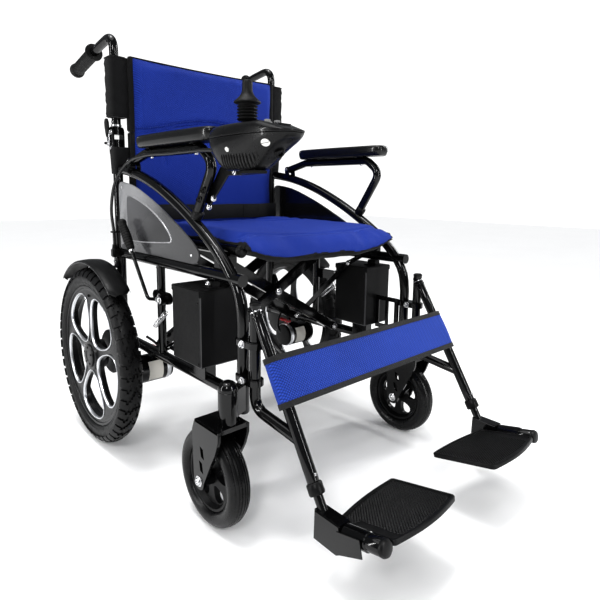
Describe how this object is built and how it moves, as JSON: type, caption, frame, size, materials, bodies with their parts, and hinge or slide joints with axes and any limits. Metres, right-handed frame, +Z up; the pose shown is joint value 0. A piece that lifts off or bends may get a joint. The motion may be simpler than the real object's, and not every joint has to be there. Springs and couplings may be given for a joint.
{
  "type": "power wheelchair",
  "caption": "Folding power wheelchair with a cross-braced tube frame, rear drive wheels, front casters, joystick, flip-up armrests and swing-away legrests.",
  "frame": {"origin": "under the middle of the bounding box, on the floor", "axes": "+Z up, -Y the way the chair drives, -X the user's right"},
  "size_m": [0.656, 1.0643, 0.9371],
  "materials": {
    "frame_paint": "gloss black powder coat",
    "panel_plastic": "gloss graphite moulded panel",
    "panel_plastic_black": "gloss black moulded panel",
    "battery_case": "matte charcoal",
    "motor_case": "satin black",
    "clutch_red": "satin red",
    "mudguard_plastic": "satin black",
    "tyre_rubber": "matte black rubber",
    "rim_alloy": "black with bright machined edges",
    "caster_rim_plastic": "satin black",
    "mesh_fabric": "royal blue air mesh",
    "webbing": "dark grey woven webbing",
    "arm_foam": "smooth black skinned foam",
    "grip_rubber": "matte black",
    "controller_plastic": "satin black",
    "button_plastic": "satin grey",
    "zinc_steel": "bright zinc plate",
    "cable_jacket": "satin black",
    "footplate_plastic": "satin black, textured top"
  },
  "bodies": {
    "frame_right": {"side_frame_right": "frame_paint", "side_panel_right": "panel_plastic", "battery_box_right": "battery_case", "drive_motor_right": "motor_case", "mudguard_right": "mudguard_plastic", "back_upholstery_lower": "mesh_fabric", "lap_belt": "webbing", "controller_cable": "cable_jacket"},
    "frame_left": {"side_frame_left": "frame_paint", "side_panel_left": "panel_plastic_black", "battery_box_left": "battery_case", "drive_motor_left": "motor_case", "mudguard_left": "mudguard_plastic"},
    "brace_a": {"cross_brace_a": "frame_paint"},
    "brace_b": {"cross_brace_b": "frame_paint"},
    "seat": {"seat_cushion": "mesh_fabric"},
    "back_right": {"back_post_right": "frame_paint", "push_grip_right": "grip_rubber", "back_upholstery_upper": "mesh_fabric"},
    "back_left": {"back_post_left": "frame_paint", "push_grip_left": "grip_rubber"},
    "arm_right": {"armrest_frame_right": "frame_paint", "armrest_pad_right": "arm_foam", "controller_bracket": "zinc_steel", "controller_base": "controller_plastic", "controller_cover": "controller_plastic"},
    "arm_left": {"armrest_frame_left": "frame_paint", "armrest_pad_left": "arm_foam"},
    "stick_ring": {"joystick_gimbal": "zinc_steel"},
    "stick": {"joystick": "grip_rubber"},
    "button_power": {"button_power": "button_plastic"},
    "button_horn": {"button_horn": "button_plastic"},
    "button_slower": {"button_slower": "button_plastic"},
    "button_faster": {"button_faster": "button_plastic"},
    "rear_wheel_right": {"rear_tyre_right": "tyre_rubber", "rear_rim_right": "rim_alloy"},
    "caster_fork_right": {"caster_fork_right": "frame_paint"},
    "caster_wheel_right": {"caster_tyre_right": "tyre_rubber", "caster_rim_right": "caster_rim_plastic"},
    "latch_right": {"back_latch_right": "controller_plastic"},
    "hanger_right": {"legrest_hanger_right": "frame_paint", "calf_strap": "mesh_fabric"},
    "foot_right": {"foot_tube_right": "frame_paint"},
    "pin_right": {"height_pin_right": "zinc_steel"},
    "plate_right": {"footplate_right": "footplate_plastic"},
    "brake_right": {"brake_lever_right": "grip_rubber"},
    "clutch_right": {"clutch_lever_right": "clutch_red"},
    "rear_wheel_left": {"rear_tyre_left": "tyre_rubber", "rear_rim_left": "rim_alloy"},
    "caster_fork_left": {"caster_fork_left": "frame_paint"},
    "caster_wheel_left": {"caster_tyre_left": "tyre_rubber", "caster_rim_left": "caster_rim_plastic"},
    "latch_left": {"back_latch_left": "controller_plastic"},
    "hanger_left": {"legrest_hanger_left": "frame_paint"},
    "foot_left": {"foot_tube_left": "frame_paint"},
    "pin_left": {"height_pin_left": "zinc_steel"},
    "plate_left": {"footplate_left": "footplate_plastic"},
    "brake_left": {"brake_lever_left": "grip_rubber"},
    "clutch_left": {"clutch_lever_left": "clutch_red"}
  },
  "joints": [
    {"name": "fold", "type": "hinge", "parent": "frame_right", "child": "brace_a", "pos_m": [-0.205, 0.0681, 0.24], "axis": [0, -1, 0], "range_deg": [0, 22], "deforming": ["seat_cushion", "back_upholstery_upper", "back_upholstery_lower", "lap_belt", "calf_strap"]},
    {"name": "brace_cross", "type": "hinge", "parent": "brace_a", "child": "brace_b", "pos_m": [0, 0.0681, 0.36], "axis": [0, -1, 0], "range_deg": [-44, 0]},
    {"name": "brace_left", "type": "hinge", "parent": "brace_b", "child": "frame_left", "pos_m": [0.205, 0.0681, 0.24], "axis": [0, -1, 0], "range_deg": [0, 22]},
    {"name": "seat_lift", "type": "hinge", "parent": "brace_b", "child": "seat", "pos_m": [-0.205, 0.0381, 0.48], "axis": [0, -1, 0], "range_deg": [0, 22]},
    {"name": "rear_wheel_right_spin", "type": "hinge", "parent": "frame_right", "child": "rear_wheel_right", "pos_m": [-0.3055, 0.2681, 0.2035], "axis": [1, 0, 0], "continuous": true},
    {"name": "caster_right_swivel", "type": "hinge", "parent": "frame_right", "child": "caster_fork_right", "pos_m": [-0.2725, -0.2179, 0.1995], "axis": [0, 0, 1], "continuous": true},
    {"name": "caster_right_spin", "type": "hinge", "parent": "caster_fork_right", "child": "caster_wheel_right", "pos_m": [-0.2725, -0.1749, 0.0885], "axis": [1, 0, 0], "continuous": true},
    {"name": "back_right_fold", "type": "hinge", "parent": "frame_right", "child": "back_right", "pos_m": [-0.231, 0.2881, 0.716], "axis": [-1, 0, 0], "range_deg": [0, 90]},
    {"name": "latch_right_turn", "type": "hinge", "parent": "frame_right", "child": "latch_right", "pos_m": [-0.231, 0.2951, 0.69], "axis": [-1, 0, 0], "range_deg": [0, 35]},
    {"name": "arm_right_lift", "type": "hinge", "parent": "frame_right", "child": "arm_right", "pos_m": [-0.231, 0.2031, 0.6455], "axis": [-1, 0, 0], "range_deg": [0, 80]},
    {"name": "legrest_right_swing", "type": "hinge", "parent": "frame_right", "child": "hanger_right", "pos_m": [-0.231, -0.2384, 0.24], "axis": [0, 0, -1], "range_deg": [0, 70]},
    {"name": "foot_right_height", "type": "slide", "parent": "hanger_right", "child": "foot_right", "axis": [0, -0.516, -0.8566], "range_m": [-0.008, 0.03]},
    {"name": "pin_right_pull", "type": "slide", "parent": "hanger_right", "child": "pin_right", "axis": [0, -0.8566, 0.516], "range_m": [0, 0.003], "stiffness_N_per_m": 400, "springref_m": -0.001},
    {"name": "footplate_right_flip", "type": "hinge", "parent": "foot_right", "child": "plate_right", "pos_m": [-0.231, -0.4499, 0.108], "axis": [0, -0.9763, 0.2164], "range_deg": [0, 90]},
    {"name": "brake_right_pull", "type": "hinge", "parent": "frame_right", "child": "brake_right", "pos_m": [-0.256, 0.0381, 0.365], "axis": [1, 0, 0], "range_deg": [0, 25]},
    {"name": "clutch_right_turn", "type": "hinge", "parent": "frame_right", "child": "clutch_right", "pos_m": [-0.2, 0.1681, 0.2145], "axis": [0, 0, -1], "range_deg": [0, 60]},
    {"name": "rear_wheel_left_spin", "type": "hinge", "parent": "frame_left", "child": "rear_wheel_left", "pos_m": [0.3055, 0.2681, 0.2035], "axis": [1, 0, 0], "continuous": true},
    {"name": "caster_left_swivel", "type": "hinge", "parent": "frame_left", "child": "caster_fork_left", "pos_m": [0.2725, -0.2179, 0.1995], "axis": [0, 0, 1], "continuous": true},
    {"name": "caster_left_spin", "type": "hinge", "parent": "caster_fork_left", "child": "caster_wheel_left", "pos_m": [0.2725, -0.1749, 0.0885], "axis": [1, 0, 0], "continuous": true},
    {"name": "back_left_fold", "type": "hinge", "parent": "frame_left", "child": "back_left", "pos_m": [0.231, 0.2881, 0.716], "axis": [-1, 0, 0], "range_deg": [0, 90]},
    {"name": "latch_left_turn", "type": "hinge", "parent": "frame_left", "child": "latch_left", "pos_m": [0.231, 0.2951, 0.69], "axis": [-1, 0, 0], "range_deg": [0, 35]},
    {"name": "arm_left_lift", "type": "hinge", "parent": "frame_left", "child": "arm_left", "pos_m": [0.231, 0.2031, 0.6455], "axis": [-1, 0, 0], "range_deg": [0, 80]},
    {"name": "legrest_left_swing", "type": "hinge", "parent": "frame_left", "child": "hanger_left", "pos_m": [0.231, -0.2384, 0.24], "axis": [0, 0, 1], "range_deg": [0, 70]},
    {"name": "foot_left_height", "type": "slide", "parent": "hanger_left", "child": "foot_left", "axis": [0, -0.516, -0.8566], "range_m": [-0.008, 0.03]},
    {"name": "pin_left_pull", "type": "slide", "parent": "hanger_left", "child": "pin_left", "axis": [0, -0.8566, 0.516], "range_m": [0, 0.003], "stiffness_N_per_m": 400, "springref_m": -0.001},
    {"name": "footplate_left_flip", "type": "hinge", "parent": "foot_left", "child": "plate_left", "pos_m": [0.231, -0.4499, 0.108], "axis": [0, 0.9763, -0.2164], "range_deg": [0, 90]},
    {"name": "brake_left_pull", "type": "hinge", "parent": "frame_left", "child": "brake_left", "pos_m": [0.256, 0.0381, 0.365], "axis": [1, 0, 0], "range_deg": [0, 25]},
    {"name": "clutch_left_turn", "type": "hinge", "parent": "frame_left", "child": "clutch_left", "pos_m": [0.2, 0.1681, 0.2145], "axis": [0, 0, 1], "range_deg": [0, 60]},
    {"name": "joystick_sideways", "type": "hinge", "parent": "arm_right", "child": "stick_ring", "pos_m": [-0.256, -0.2509, 0.6875], "axis": [0, 1, 0], "range_deg": [-15, 15], "stiffness_Nm_per_rad": 0.3},
    {"name": "joystick_fore_aft", "type": "hinge", "parent": "stick_ring", "child": "stick", "pos_m": [-0.256, -0.2509, 0.6875], "axis": [1, 0, 0], "range_deg": [-15, 15], "stiffness_Nm_per_rad": 0.3},
    {"name": "power_press", "type": "slide", "parent": "arm_right", "child": "button_power", "axis": [0, 0, -1], "range_m": [0, 0.0012], "stiffness_N_per_m": 300, "springref_m": -0.0005},
    {"name": "horn_press", "type": "slide", "parent": "arm_right", "child": "button_horn", "axis": [0, 0, -1], "range_m": [0, 0.0012], "stiffness_N_per_m": 300, "springref_m": -0.0005},
    {"name": "slower_press", "type": "slide", "parent": "arm_right", "child": "button_slower", "axis": [0, 0, -1], "range_m": [0, 0.0012], "stiffness_N_per_m": 300, "springref_m": -0.0005},
    {"name": "faster_press", "type": "slide", "parent": "arm_right", "child": "button_faster", "axis": [0, 0, -1], "range_m": [0, 0.0012], "stiffness_N_per_m": 300, "springref_m": -0.0005}
  ],
  "couplings": [
    {"joint": "brace_cross", "follows": "fold", "ratio": -2},
    {"joint": "brace_left", "follows": "fold", "ratio": 1},
    {"joint": "seat_lift", "follows": "fold", "ratio": 1},
    {"joint": "back_left_fold", "follows": "back_right_fold", "ratio": 1}
  ]
}
